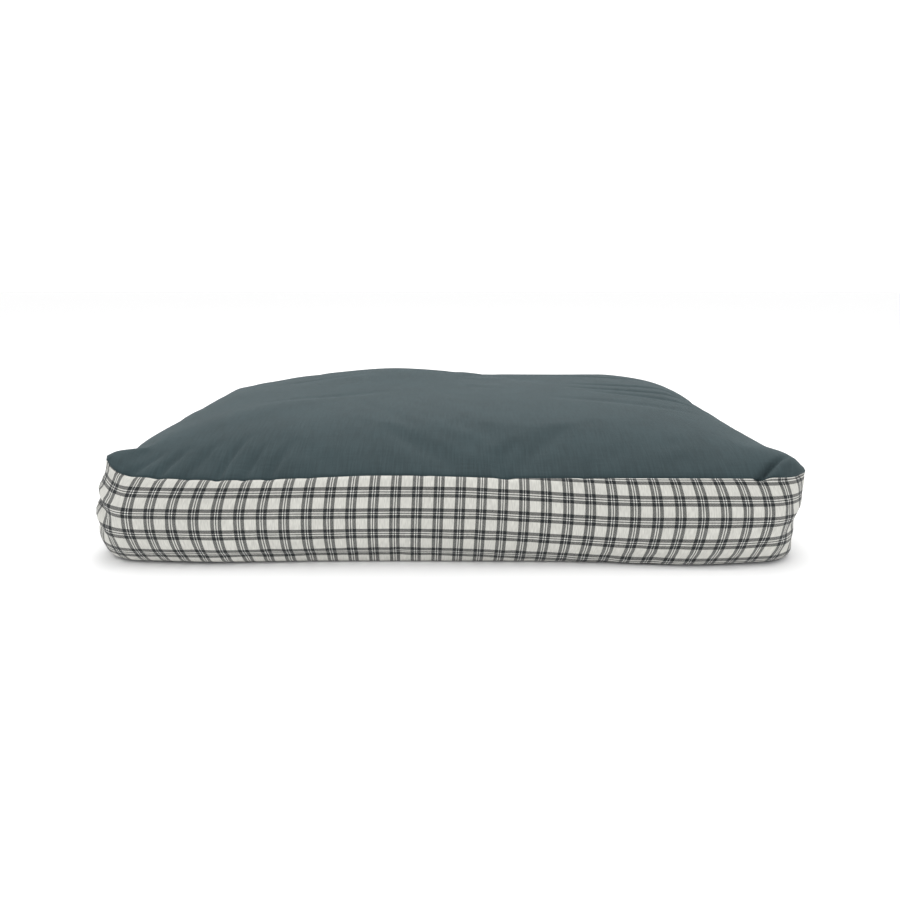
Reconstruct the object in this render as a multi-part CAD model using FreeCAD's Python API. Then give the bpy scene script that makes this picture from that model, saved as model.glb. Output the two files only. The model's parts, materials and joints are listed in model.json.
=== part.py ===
"""Rectangular pet cushion bed: a zipped box cover of canvas and checked cloth over a fibre-filled liner.

Frame: +Z up, +X along the length, front wall towards -Y, zip wall towards +Y.
The origin is the middle of the underside, where the bed lies on the floor. Millimetres.
"""

import math
import os

import FreeCAD
import Part

V = FreeCAD.Vector
UP = V(0, 0, 1)

# ---------------------------------------------------------------- driving dimensions
# Outer cover, measured at the seams
bed_length = 914.0          # X, 36 in
bed_depth = 686.0           # Y, 27 in
boxing_height = 116.0       # floor to top seam
corner_radius = 60.0        # plan radius of the four corners
crown_height = 46.0         # rise of the top panel above its own edge
crown_power = 6             # even; a higher power gives a flatter top with steeper sides
boxing_bulge = 10.0         # how far the walls belly out at half height
cloth = 1.2                 # thickness of the canvas and of the checked cloth
seam_allowance = 10.0       # width of the edge turned in at a seam
front_wrap = 90.0           # the front strip runs this far past each front corner

# Zip in the back wall
zip_panel_margin = 7.0      # straight wall left between a back corner and the zip strips
chain_margin = 12.0         # from the end of the strips to the outer end of a stop
zip_opening = 16.0          # gap between the two strips, where the chain shows
hem = 12.0                  # edge of each strip, folded back behind itself
tape_thickness = 0.6
tape_width = 15.0
tape_gap = 1.8              # between the two tape edges, where the divider runs
coil_width = 2.5
coil_height = 2.0
stop_length = 3.0
stop_wall = 0.5

# Slider and pull
slider_length = 11.0
slider_nose = 2.6           # taper at the end that faces the closed chain
plate_thickness = 1.2
flange_thickness = 1.1
divider_width = 1.1
divider_length = 3.2
running_gap = 0.4           # slider to chain, all round
bail_length = 7.0
bail_width = 2.2
bail_wall = 1.0
bar_diameter = 1.2          # crossbar of the pull, under the bail
bar_gap = 0.4               # crossbar to plate and to bail
pull_length = 24.0
pull_width = 6.4
pull_eye_length = 5.0
pull_eye_width = 3.4
pull_slot_length = 8.0
pull_slot_width = 2.4

# Sewing thread
thread = 0.8                # bead of a seam, inside the cover
topstitch = 0.6             # row that shows beside the zip
stitch_margin = 3.0         # from a fold to its row of stitches

# Inner cushion
liner_cloth = 0.8
liner_inset = 6.0           # liner seam to cover seam
liner_bulge = 8.0
liner_top_gap = 1.0         # under the top panel
liner_closing_gap = 0.6     # at the closing seam in the liner's back wall
fill_gap = 0.5              # fibre to liner
snug = 0.05                 # between sewn layers that lie on each other

# ---------------------------------------------------------------- worked-out places
half_length = bed_length / 2
half_depth = bed_depth / 2
bottom_top = cloth                          # upper face of the bottom panel
seam_z = boxing_height - cloth              # underside of the top panel's margin
wall_middle = (bottom_top + seam_z) / 2     # height where the walls belly out most
zip_half = half_length - corner_radius - zip_panel_margin
chain_half = zip_half - chain_margin
front_join_y = -(half_depth - corner_radius) + front_wrap


# ---------------------------------------------------------------- helpers
class Outline:
    """Rounded rectangle, inset from the cover's seam line."""

    def __init__(self, inset=0.0):
        self.a = half_length - inset
        self.b = half_depth - inset
        self.r = corner_radius - inset
        self.ax = self.a - self.r
        self.by = self.b - self.r

    def prism(self, z_low, z_high):
        """Solid block of this outline between two heights."""
        slab = Part.makeBox(2 * self.a, 2 * self.b, z_high - z_low, V(-self.a, -self.b, z_low))
        upright = [e for e in slab.Edges if abs(e.tangentAt(e.FirstParameter).z) > 0.5]
        return slab.makeFillet(self.r, upright)

    # The stretches of the outline, anticlockwise from above: a line with its outward
    # direction in degrees, or a corner with the direction that it starts from.
    def front(self):
        return ("line", V(-self.ax, -self.b, 0), V(self.ax, -self.b, 0), 270)

    def back(self, x_from=None, x_to=None):
        start = self.ax if x_from is None else x_from
        end = -self.ax if x_to is None else x_to
        return ("line", V(start, self.b, 0), V(end, self.b, 0), 90)

    def right(self, y_from=None, y_to=None):
        start = -self.by if y_from is None else y_from
        end = self.by if y_to is None else y_to
        return ("line", V(self.a, start, 0), V(self.a, end, 0), 0)

    def left(self, y_from=None, y_to=None):
        start = self.by if y_from is None else y_from
        end = -self.by if y_to is None else y_to
        return ("line", V(-self.a, start, 0), V(-self.a, end, 0), 180)

    def corner(self, start_angle):
        middle = math.radians(start_angle + 45)
        centre = V(math.copysign(self.ax, math.cos(middle)), math.copysign(self.by, math.sin(middle)), 0)
        return ("corner", centre, self.r, start_angle)

    def ring(self):
        return [
            self.front(), self.corner(270), self.right(), self.corner(0),
            self.back(), self.corner(90), self.left(), self.corner(180),
        ]


def solid_of(shape):
    """The one solid of a shape that should hold just one."""
    return max(shape.Solids, key=lambda solid: solid.Volume)


def sweep(profile, stretches):
    """Carries profile(place, outward) along the stretches and joins the pieces into one solid."""
    pieces = []
    for kind, start, end, angle in stretches:
        outward = V(math.cos(math.radians(angle)), math.sin(math.radians(angle)), 0)
        if kind == "line":
            pieces.append(profile(start, outward).extrude(end - start))
        else:
            centre, radius = start, end
            pieces.append(profile(centre + outward * radius, outward).revolve(centre, UP, 90))
    if len(pieces) == 1:
        return pieces[0]
    return solid_of(pieces[0].fuse(pieces[1:]).removeSplitter())


class WallArc:
    """Upright section of a wall that bellies out between its two seams.

    out(r_in, z) gives the outward distance, from the seam line, of the surface that lies
    r_in inside the outer face.
    """

    def __init__(self, z_low, z_high, bulge):
        self.z_low, self.z_high, self.bulge = z_low, z_high, bulge
        self.middle = (z_low + z_high) / 2
        half = (z_high - z_low) / 2
        self.radius = (half ** 2 + bulge ** 2) / (2 * bulge)
        self.centre = bulge - self.radius

    def out(self, depth, z):
        return self.centre + math.sqrt((self.radius - depth) ** 2 - (z - self.middle) ** 2)

    def edge(self, place, outward, depth, z_from, z_to):
        """The arc at that depth between two heights."""
        heights = (z_from, (z_from + z_to) / 2, z_to)
        return Part.Arc(*[place + outward * self.out(depth, z) + UP * z for z in heights]).toShape()

    def point(self, place, outward, depth, z):
        return place + outward * self.out(depth, z) + UP * z

    def band(self, depth_out, depth_in, z_from, z_to):
        """Profile of a layer between two depths and two heights."""
        def profile(place, outward):
            corners = [
                self.point(place, outward, depth_out, z_to), self.point(place, outward, depth_in, z_to),
                self.point(place, outward, depth_in, z_from), self.point(place, outward, depth_out, z_from),
            ]
            return Part.Face(Part.Wire([
                self.edge(place, outward, depth_out, z_from, z_to),
                Part.makeLine(corners[0], corners[1]),
                self.edge(place, outward, depth_in, z_to, z_from),
                Part.makeLine(corners[2], corners[3]),
            ]))
        return profile


def bead(offset, z, diameter):
    """Profile of a thread: a circle at an outward offset and a height."""
    def profile(place, outward):
        centre = place + outward * offset + UP * z
        along = outward.cross(UP)
        return Part.Face(Part.Wire(Part.makeCircle(diameter / 2, centre, along)))
    return profile


def bernstein(power, span, reach):
    """Control values of 1 - (s / span) ** power for s from -reach to reach."""
    ratio = reach / span
    # (2 t - 1) ** power has the control values 1, -1, 1 and so on
    return [1 - ratio ** power * (-1) ** i for i in range(power + 1)]


cover = Outline()
crown_margin = seam_allowance + 2.0     # flat edge of the top panel, over the turned-in seam


def crown_block(drop):
    """Everything under the crown surface, lowered by drop.

    The surface is crown_height * (1 - (x / span_x) ** power - (y / span_y) ** power): nearly
    flat in the middle, steep beside the seams and lowest in the corners.
    """
    span_x, span_y = cover.a - crown_margin, cover.b - crown_margin
    reach_x, reach_y = cover.a + crown_margin, cover.b + crown_margin
    across = bernstein(crown_power, span_x, reach_x)
    along = bernstein(crown_power, span_y, reach_y)
    patch = Part.BezierSurface()
    patch.increase(crown_power, crown_power)
    base = seam_z + cloth - drop
    for i in range(crown_power + 1):
        x = reach_x * (2 * i / crown_power - 1)
        for j in range(crown_power + 1):
            y = reach_y * (2 * j / crown_power - 1)
            patch.setPole(i + 1, j + 1, V(x, y, base + crown_height * (across[i] + along[j] - 1)))
    return patch.toShape().extrude(V(0, 0, -3 * (crown_height + boxing_height)))


def crown_sheet(outline, z_low, z_flat, drop, thickness):
    """Sheet of cloth of an outline: flat at z_flat round its edge, crowned inside."""
    return solid_of(crowned(outline, z_low, z_flat, drop).cut(crown_block(drop + thickness)))


def crowned(outline, z_low, z_flat, drop):
    """Solid of an outline: flat at z_flat round its edge, crowned inside."""
    top = boxing_height + 2 * crown_height
    dome = crown_block(drop).common(outline.prism(z_low, top))
    return dome.fuse(outline.prism(z_low, z_flat)).removeSplitter()


parts = {}

# ---------------------------------------------------------------- cover: the two panels
parts["bottom_panel"] = cover.prism(0, bottom_top)
parts["top_panel"] = crown_sheet(cover, seam_z, seam_z + cloth, 0, cloth)

# ---------------------------------------------------------------- cover: the walls
wall = WallArc(bottom_top, seam_z, boxing_bulge)


def boxing_profile(place, outward):
    """Whole wall with its two edges turned in: the top one under the top panel,
    the bottom one on the bottom panel."""
    z0, z1 = wall.z_low, wall.z_high
    inner_low, inner_high = z0 + cloth, z1 - cloth
    path = [
        wall.edge(place, outward, 0, z0, z1),
        *Part.makePolygon([
            wall.point(place, outward, 0, z1),
            place - outward * seam_allowance + UP * z1,
            place - outward * seam_allowance + UP * inner_high,
            wall.point(place, outward, cloth, inner_high),
        ]).Edges,
        wall.edge(place, outward, cloth, inner_high, inner_low),
        *Part.makePolygon([
            wall.point(place, outward, cloth, inner_low),
            place - outward * seam_allowance + UP * inner_low,
            place - outward * seam_allowance + UP * z0,
            wall.point(place, outward, 0, z0),
        ]).Edges,
    ]
    return Part.Face(Part.Wire(path))


def zip_strip_profile(side):
    """Strip above (side 1) or below (side -1) the zip, hemmed along the zip."""
    seam = wall.z_high if side > 0 else wall.z_low
    turned = seam - side * cloth
    fold = wall.middle + side * zip_opening / 2
    hem_end = fold + side * hem

    def profile(place, outward):
        path = [
            wall.edge(place, outward, 0, fold, seam),
            *Part.makePolygon([
                wall.point(place, outward, 0, seam),
                place - outward * seam_allowance + UP * seam,
                place - outward * seam_allowance + UP * turned,
                wall.point(place, outward, cloth, turned),
            ]).Edges,
            wall.edge(place, outward, cloth, turned, hem_end),
            Part.makeLine(
                wall.point(place, outward, cloth, hem_end), wall.point(place, outward, 2 * cloth, hem_end)
            ),
            wall.edge(place, outward, 2 * cloth, hem_end, fold),
            Part.makeLine(wall.point(place, outward, 2 * cloth, fold), wall.point(place, outward, 0, fold)),
        ]
        return Part.Face(Part.Wire(path))
    return profile


zip_run = [cover.back(zip_half, -zip_half)]
parts["front_boxing"] = sweep(boxing_profile, [
    cover.left(front_join_y), cover.corner(180), cover.front(), cover.corner(270),
    cover.right(None, front_join_y),
])
parts["right_boxing"] = sweep(boxing_profile, [
    cover.right(front_join_y), cover.corner(0), cover.back(None, zip_half),
])
parts["left_boxing"] = sweep(boxing_profile, [
    cover.back(-zip_half), cover.corner(90), cover.left(None, front_join_y),
])
parts["back_boxing_upper"] = sweep(zip_strip_profile(1), zip_run)
parts["back_boxing_lower"] = sweep(zip_strip_profile(-1), zip_run)

# ---------------------------------------------------------------- cover: the sewing
seam_bead_offset = -stitch_margin
seam_bead_drop = cloth + snug + thread / 2
for name, height in (("top", seam_z - seam_bead_drop), ("bottom", bottom_top + seam_bead_drop)):
    parts[name + "_seam_thread"] = sweep(bead(seam_bead_offset, height, thread), cover.ring())


def upright_thread(arc, depth, z_low, z_high, place, outward, diameter):
    """Thread that climbs a wall, following its arc."""
    start = arc.point(place, outward, depth, z_low)
    centre = place + outward * arc.centre + UP * arc.middle
    radial = (start - centre).normalize()
    along = outward.cross(UP)
    tangent = along.cross(radial)
    angle = 2 * math.degrees(math.asin((z_high - z_low) / 2 / (arc.radius - depth)))
    section = Part.Face(Part.Wire(Part.makeCircle(diameter / 2, start, tangent)))
    return section.revolve(centre, along, angle)


join_low = bottom_top + cloth + 2 * thread + stitch_margin
join_high = seam_z - cloth - 2 * thread - stitch_margin
join_depth = cloth + thread / 2 + snug
join_places = [
    (V(-cover.a, front_join_y - stitch_margin, 0), V(-1, 0, 0)),
    (V(cover.a, front_join_y - stitch_margin, 0), V(1, 0, 0)),
    (V(-zip_half - stitch_margin, cover.b, 0), V(0, 1, 0)),
    (V(zip_half + stitch_margin, cover.b, 0), V(0, 1, 0)),
]
parts["boxing_join_threads"] = Part.makeCompound([
    upright_thread(wall, join_depth, join_low, join_high, place, outward, thread)
    for place, outward in join_places
])
stitch_half = zip_half - stitch_margin


def topstitch_row(side):
    """Row of thread that holds a strip to its zip tape."""
    z = wall.middle + side * (zip_opening / 2 + stitch_margin)
    raised = -(topstitch / 2 + snug)
    offset = wall.out(raised, z)
    return sweep(bead(offset, z, topstitch), [cover.back(stitch_half, -stitch_half)])


parts["zip_stitch_upper"] = topstitch_row(1)
parts["zip_stitch_lower"] = topstitch_row(-1)

# ---------------------------------------------------------------- zip: tapes, chain, stops
tape_depth = 2 * cloth + snug                       # outer face of the tape, under the hems
tape_run = [cover.back(zip_half - stitch_margin, -(zip_half - stitch_margin))]
coil_run = [cover.back(chain_half - stop_length, -(chain_half - stop_length))]
coil_inner = tape_gap / 2
coil_outer = coil_inner + coil_width


def either_side(side, near, far):
    """Two heights at these distances from the middle of the zip, lower one first."""
    return sorted((wall.middle + side * near, wall.middle + side * far))


for name, side in (("upper", 1), ("lower", -1)):
    low, high = either_side(side, tape_gap / 2, tape_gap / 2 + tape_width)
    tape = wall.band(tape_depth, tape_depth + tape_thickness, low, high)
    parts["zip_tape_" + name] = sweep(tape, tape_run)
    low, high = either_side(side, coil_inner, coil_outer)
    coil = wall.band(tape_depth - snug - coil_height, tape_depth - snug, low, high)
    parts["zip_coil_" + name] = sweep(coil, coil_run)

wall_y = cover.b + boxing_bulge                     # outermost line of the back wall
tape_outer_y = wall_y - tape_depth
tape_inner_y = tape_outer_y - tape_thickness
coil_outer_y = tape_outer_y + snug + coil_height
stop_face_y = coil_outer_y + stop_wall              # the stops stand a little proud of the coil
stop_root_y = tape_outer_y + snug


def stop_block(x_from, z_from, z_to):
    """Clip of bent sheet on the front of the tape, rounded along its long edges."""
    thickness = stop_face_y - stop_root_y
    block = Part.makeBox(stop_length, thickness, z_to - z_from, V(x_from, stop_root_y, z_from))
    proud = [e for e in block.Edges if abs(e.CenterOfMass.y - stop_face_y) < 1e-6]
    return block.makeFillet(stop_wall, proud)


# The slider closes towards +X, so the two top stops are there and the joined one is at -X.
closed_end_x = chain_half - stop_length
parts["zip_top_stops"] = Part.makeCompound([
    stop_block(closed_end_x + snug, *either_side(side, coil_inner, coil_outer)) for side in (1, -1)
])
parts["zip_bottom_stop"] = stop_block(
    -chain_half - snug, wall.middle - coil_outer, wall.middle + coil_outer
)

# ---------------------------------------------------------------- zip: slider
slider_clearance = 0.5                              # slider to top stops when shut
slider_x = closed_end_x - slider_clearance - slider_length / 2
slider_half_width = coil_outer + running_gap + flange_thickness
plate_low_y = coil_outer_y + running_gap
plate_high_y = plate_low_y + plate_thickness
under_high_y = tape_inner_y - running_gap
under_low_y = under_high_y - plate_thickness
slider_front = slider_x + slider_length / 2
slider_back = slider_x - slider_length / 2


def slider_plate(y_low, y_high):
    """Plate of the slider, tapered towards the closed chain."""
    shoulder = slider_back + slider_nose
    nose = slider_half_width - slider_nose / 2
    corners = [
        (slider_back, nose), (shoulder, slider_half_width), (slider_front, slider_half_width),
        (slider_front, -slider_half_width), (shoulder, -slider_half_width), (slider_back, -nose),
    ]
    points = [V(x, y_low, wall.middle + z) for x, z in corners]
    plate = Part.Face(Part.makePolygon(points + points[:1])).extrude(V(0, y_high - y_low, 0))
    across = [e for e in plate.Edges if abs(e.tangentAt(e.FirstParameter).y) > 0.5]
    return plate.makeFillet(plate_thickness / 2, across)


def slider_flange(side):
    """Side of the slider that guides the coil."""
    z_low, z_high = either_side(side, coil_outer + running_gap, slider_half_width)
    length = slider_length - slider_nose - plate_thickness
    low_y = tape_outer_y + running_gap
    return Part.makeBox(
        length, plate_low_y - low_y + snug, z_high - z_low, V(slider_back + slider_nose, low_y, z_low)
    )


divider = Part.makeBox(
    divider_length, plate_low_y - under_high_y + 2 * snug, divider_width,
    V(slider_front - divider_length - running_gap, under_high_y - snug, wall.middle - divider_width / 2),
)
parts["slider_body"] = solid_of(
    slider_plate(plate_low_y, plate_high_y).fuse([
        slider_plate(under_low_y, under_high_y), slider_flange(1), slider_flange(-1), divider,
    ]).removeSplitter()
)

# Bail: the bridge on the slider, which the crossbar of the pull turns under
bar_y = plate_high_y + bar_gap + bar_diameter / 2
bail_inside_y = bar_y + bar_diameter / 2 + bar_gap
bail_outer = Part.makeBox(
    bail_length, bail_inside_y + bail_wall - plate_high_y, bail_width,
    V(slider_x - bail_length / 2, plate_high_y, wall.middle - bail_width / 2),
)
bail_round = [
    e for e in bail_outer.Edges
    if abs(e.tangentAt(e.FirstParameter).z) > 0.5 and e.CenterOfMass.y > bail_inside_y
]
bail_window = Part.makeBox(
    bail_length - 2 * bail_wall, bail_inside_y - plate_high_y, bail_width,
    V(slider_x - bail_length / 2 + bail_wall, plate_high_y, wall.middle - bail_width / 2),
)
parts["slider_bail"] = solid_of(bail_outer.makeFillet(1.5 * bail_wall, bail_round).cut(bail_window))

# ---------------------------------------------------------------- zip: pull
# The pull lies back over the closed chain, and turns about its crossbar.
pull_inner_y = bar_y - bar_diameter / 2


def pull_plate(x_near, x_far, width):
    """Flat plate of the pull, from its crossbar side outwards, with a round far end."""
    plate = Part.makeBox(
        x_far - x_near, bar_diameter, width, V(slider_x - x_far, pull_inner_y, wall.middle - width / 2)
    )
    across = [e for e in plate.Edges if abs(e.tangentAt(e.FirstParameter).y) > 0.5]
    far_end = [e for e in across if e.CenterOfMass.x < slider_x - x_far + snug]
    return plate.makeFillet(0.45 * width, far_end)


def slot(x_near, x_far, width):
    """Window through the pull with rounded ends."""
    window = Part.makeBox(
        x_far - x_near, 2 * bar_diameter, width,
        V(slider_x - x_far, pull_inner_y - bar_diameter / 2, wall.middle - width / 2),
    )
    across = [e for e in window.Edges if abs(e.tangentAt(e.FirstParameter).y) > 0.5]
    return window.makeFillet(0.3 * width, across)


eye_near = bar_diameter / 2
eye_far = eye_near + pull_eye_length
slot_far = pull_length - pull_width / 3
crossbar = Part.makeCylinder(
    bar_diameter / 2, pull_width, V(slider_x, bar_y, wall.middle - pull_width / 2), UP
)
pull = pull_plate(0, pull_length, pull_width).fuse(crossbar)
pull = pull.cut([
    slot(eye_near, eye_far, pull_eye_width),
    slot(slot_far - pull_slot_length, slot_far, pull_slot_width),
])
parts["pull_tab"] = solid_of(pull.removeSplitter())

# ---------------------------------------------------------------- inner cushion
liner = Outline(liner_inset)
liner_floor = bottom_top + cloth                    # it rests on the turned-in edges
liner_flat = seam_z - cloth - liner_closing_gap     # top of its margin, under the turned-in edge
liner_low = liner_floor + liner_cloth
liner_high = liner_flat - liner_cloth
liner_wall = WallArc(liner_low, liner_high, liner_bulge)
liner_drop = cloth + liner_top_gap

parts["liner_bottom"] = liner.prism(liner_floor, liner_low)
parts["liner_top"] = crown_sheet(liner, liner_high, liner_flat, liner_drop, liner_cloth)
half_gap = liner_closing_gap / 2
parts["liner_boxing"] = sweep(liner_wall.band(0, liner_cloth, liner_low, liner_high), [
    liner.back(-half_gap), liner.corner(90), liner.left(), liner.corner(180),
    liner.front(), liner.corner(270), liner.right(), liner.corner(0), liner.back(None, half_gap),
])
closing_low, closing_high = liner_low + stitch_margin, liner_high - stitch_margin
parts["liner_closing_stitch"] = upright_thread(
    liner_wall, -(thread / 2 + snug), closing_low, closing_high, V(0, liner.b, 0), V(0, 1, 0), thread
)

fill_outline = Outline(liner_inset + liner_cloth + fill_gap)
fill_wall = WallArc(liner_low, liner_high, liner_bulge)
fill_top = liner_high - snug
fill_body = fill_outline.prism(liner_low, fill_top)
fill_rim = fill_wall.bulge + fill_outline.r / 2     # depth of the ring that makes the bellied rim
fill_belly = sweep(fill_wall.band(0, fill_rim, liner_low + snug, fill_top), fill_outline.ring())
fill_dome = crown_block(liner_drop + liner_cloth + fill_gap).common(
    fill_outline.prism(liner_low, boxing_height + 2 * crown_height)
)
parts["fibre_fill"] = solid_of(fill_body.fuse([fill_belly, fill_dome]).removeSplitter())

# ---------------------------------------------------------------- export
os.makedirs("parts", exist_ok=True)
for name, shape in parts.items():
    if not shape.isValid():
        print("not valid:", name)
    shape.exportStep(os.path.join("parts", name + ".step"))
    box = shape.optimalBoundingBox()
    print(f"{name:22s} {len(shape.Solids)} solid  {shape.Volume / 1000:10.2f} cm3  "
          f"{box.XLength:7.1f} {box.YLength:7.1f} {box.ZLength:7.1f}")
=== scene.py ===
# %% [markdown]
# # A pet cushion bed
# The bed is a zipped cover over a separate bag of fibre. The cover has a slate canvas top, walls
# of yarn-dyed check, and a dark underside. This lesson keeps the hard pieces from the CAD frame,
# such as the slider and its pull, and sews the cloth around them.

# %% Load the frame
import json
import math

import bmesh
import bpy
import numpy as np
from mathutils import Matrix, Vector

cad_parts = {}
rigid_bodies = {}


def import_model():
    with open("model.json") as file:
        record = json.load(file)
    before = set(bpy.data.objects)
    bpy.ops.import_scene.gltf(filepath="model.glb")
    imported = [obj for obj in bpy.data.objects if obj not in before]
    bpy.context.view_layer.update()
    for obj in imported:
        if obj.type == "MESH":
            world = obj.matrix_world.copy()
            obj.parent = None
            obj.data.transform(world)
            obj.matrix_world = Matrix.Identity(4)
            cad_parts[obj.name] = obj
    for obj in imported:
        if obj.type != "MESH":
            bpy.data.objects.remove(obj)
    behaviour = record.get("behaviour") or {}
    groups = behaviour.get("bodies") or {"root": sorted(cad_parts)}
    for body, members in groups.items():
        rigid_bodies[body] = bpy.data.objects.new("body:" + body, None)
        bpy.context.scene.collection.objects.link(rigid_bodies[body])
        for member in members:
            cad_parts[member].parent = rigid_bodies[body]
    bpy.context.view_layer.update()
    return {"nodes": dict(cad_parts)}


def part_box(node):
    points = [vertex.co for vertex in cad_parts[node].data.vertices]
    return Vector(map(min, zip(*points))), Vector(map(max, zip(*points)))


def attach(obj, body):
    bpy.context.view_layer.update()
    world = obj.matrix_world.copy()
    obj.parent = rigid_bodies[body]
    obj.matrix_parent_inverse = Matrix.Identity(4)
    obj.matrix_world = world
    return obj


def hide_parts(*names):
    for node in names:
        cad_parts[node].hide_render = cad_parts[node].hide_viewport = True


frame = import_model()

print("frame nodes:", len(frame["nodes"]))

# %% [markdown]
# ## Sizes
# Every size but the radius of the corners comes from the CAD pieces, so the cloth meets the zip with
# no fitting by eye. Cloth is cut flat, so the lengths along the wall and up the wall are what the
# pattern later follows.

# %% Sizes of the cover
panel_low, panel_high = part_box("bottom_panel")
half_length, half_depth = panel_high.x, panel_high.y
cloth = panel_high.z                       # one layer of cloth
seam_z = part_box("top_panel")[0].z          # underside of the top panel's sewn edge
crown_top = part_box("top_panel")[1].z
floor_seam_z = panel_low.z
strip_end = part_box("back_boxing_upper")[1].x
zip_low, zip_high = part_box("back_boxing_lower")[1].z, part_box("back_boxing_upper")[0].z
wall_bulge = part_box("right_boxing")[1].x - half_length
join_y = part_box("front_boxing")[1].y
corner_radius = 0.060
print("half size", round(half_length, 4), round(half_depth, 4), "seam height", round(seam_z, 4),
      "zip opening", round(zip_low, 4), round(zip_high, 4), "bulge", round(wall_bulge, 4))

# %% [markdown]
# ## The blank of the cover
# A maker cuts a rectangle with round corners for the top, another for the underside, and a long
# strip for the wall. Here a flat grid is rounded at its corners and extruded once. That gives the
# top, the underside and one tall row of wall, and the wall is then cut into rows. Keeping the grid
# in neat rows matters: the woven check has to follow the cloth wherever it goes.

# %% Helpers that select by place
def deselect_all():
    for thing in bpy.data.objects:
        thing.select_set(False)


def take(piece):
    """Makes a piece the only selected and active object."""
    deselect_all()
    piece.select_set(True)
    bpy.context.view_layer.objects.active = piece
    return piece


def coordinates(piece):
    places = np.empty(len(piece.data.vertices) * 3)
    piece.data.vertices.foreach_get("co", places)
    return places.reshape(-1, 3)


def move_to(piece, places):
    piece.data.vertices.foreach_set("co", places.reshape(-1))
    piece.data.update()


# %% The grid, extruded once
cell = 0.008
cells_x, cells_y = round(2 * half_length / cell), round(2 * half_depth / cell)
wall_rows = round((seam_z - floor_seam_z) / cell)
deselect_all()
bpy.ops.mesh.primitive_grid_add(x_subdivisions=cells_x, y_subdivisions=cells_y, size=2)
cover = bpy.context.active_object
cover.name = "cover_blank"
cover.scale = (half_length, half_depth, 1)
cover.location.z = floor_seam_z
bpy.ops.object.transform_apply(location=True, rotation=True, scale=True)
bpy.ops.object.mode_set(mode="EDIT")
bpy.ops.mesh.select_all(action="SELECT")
bpy.ops.mesh.extrude_region_move(TRANSFORM_OT_translate={"value": (0, 0, seam_z - floor_seam_z)})

# %% The wall, cut into rows
bpy.ops.mesh.select_all(action="DESELECT")
bpy.ops.mesh.select_mode(type="EDGE")
edit = bmesh.from_edit_mesh(cover.data)
for edge in edit.edges:
    a, b = edge.verts
    edge.select_set(abs(a.co.z - b.co.z) > cell)
bmesh.update_edit_mesh(cover.data)
bpy.ops.mesh.subdivide(number_cuts=wall_rows - 1)
bpy.ops.mesh.select_all(action="SELECT")
bpy.ops.mesh.normals_make_consistent(inside=False)
bpy.ops.object.mode_set(mode="OBJECT")
blank = coordinates(cover)
row_height = (seam_z - floor_seam_z) / wall_rows
rows_below, rows_above = round(zip_low / row_height), round(zip_high / row_height)
even_levels = [floor_seam_z, rows_below * row_height, rows_above * row_height, seam_z]
zip_levels = [floor_seam_z, zip_low, zip_high, seam_z]
blank[:, 2] = np.interp(blank[:, 2], even_levels, zip_levels)      # two rows end at the zip
print("cover blank:", len(blank), "corners,", len(cover.data.polygons), "faces,", wall_rows, "wall rows")

# %% [markdown]
# ## From the box to the stuffed shape
# The blank is still a plain box. Each of its corners is now sent to its place on a stuffed
# cushion: the plan gets its round corners, the wall bellies out, and the top rises steeply from
# the seam to a broad crown. A few formulas are enough for this, because the creases come later,
# from a cloth simulation and from folds.

# %% Plan of the cover: place, outward direction and length along the wall
straight_x, straight_y = half_length - corner_radius, half_depth - corner_radius
quarter = corner_radius * math.pi / 2


def rounded(x, y):
    """Box place to a place in the rounded plan."""
    s = np.clip((np.abs(x) - straight_x) / corner_radius, 0, 1)
    t = np.clip((np.abs(y) - straight_y) / corner_radius, 0, 1)
    inside = (s > 0) & (t > 0)
    new_x = np.where(inside, straight_x + corner_radius * s * np.sqrt(1 - t ** 2 / 2), np.abs(x))
    new_y = np.where(inside, straight_y + corner_radius * t * np.sqrt(1 - s ** 2 / 2), np.abs(y))
    return np.sign(x) * new_x, np.sign(y) * new_y


def outward(x, y):
    """Outward direction of the wall at a place in the rounded plan."""
    across = np.where(np.abs(x) > straight_x, np.abs(x) - straight_x, 0) * np.sign(x)
    along = np.where(np.abs(y) > straight_y, np.abs(y) - straight_y, 0) * np.sign(y)
    on_long_wall = np.abs(x) <= straight_x
    on_short_wall = np.abs(y) <= straight_y
    across = np.where(on_long_wall, 0, np.where(on_short_wall, np.sign(x), across))
    along = np.where(on_short_wall, 0, np.where(on_long_wall, np.sign(y), along))
    length = np.hypot(across, along) + 1e-12
    return across / length, along / length


def along_wall(x, y):
    """Length along the wall from the middle of the front, positive to the right."""
    nx, ny = outward(x, y)
    angle = np.arctan2(ny, np.abs(nx))
    length = np.where(
        np.abs(x) <= straight_x,
        np.where(y < 0, np.abs(x), straight_x + 2 * quarter + 2 * straight_y + straight_x - np.abs(x)),
        np.where(
            np.abs(y) <= straight_y, straight_x + quarter + straight_y + y,
            np.where(
                y < 0, straight_x + corner_radius * (angle + math.pi / 2),
                straight_x + quarter + 2 * straight_y + corner_radius * angle,
            ),
        ),
    )
    return np.where(x < 0, -length, length)


# %% The stuffed shape
def hump(value, centre, width):
    """1 at the centre, and falling softly to 0 beyond the width."""
    return np.exp(-((value - centre) / width) ** 2)


def eased(value, start, end):
    """0 before the start, 1 past the end, and a soft step between them."""
    share = np.clip((value - start) / (end - start), 0, 1)
    return share * share * (3 - 2 * share)


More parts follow.
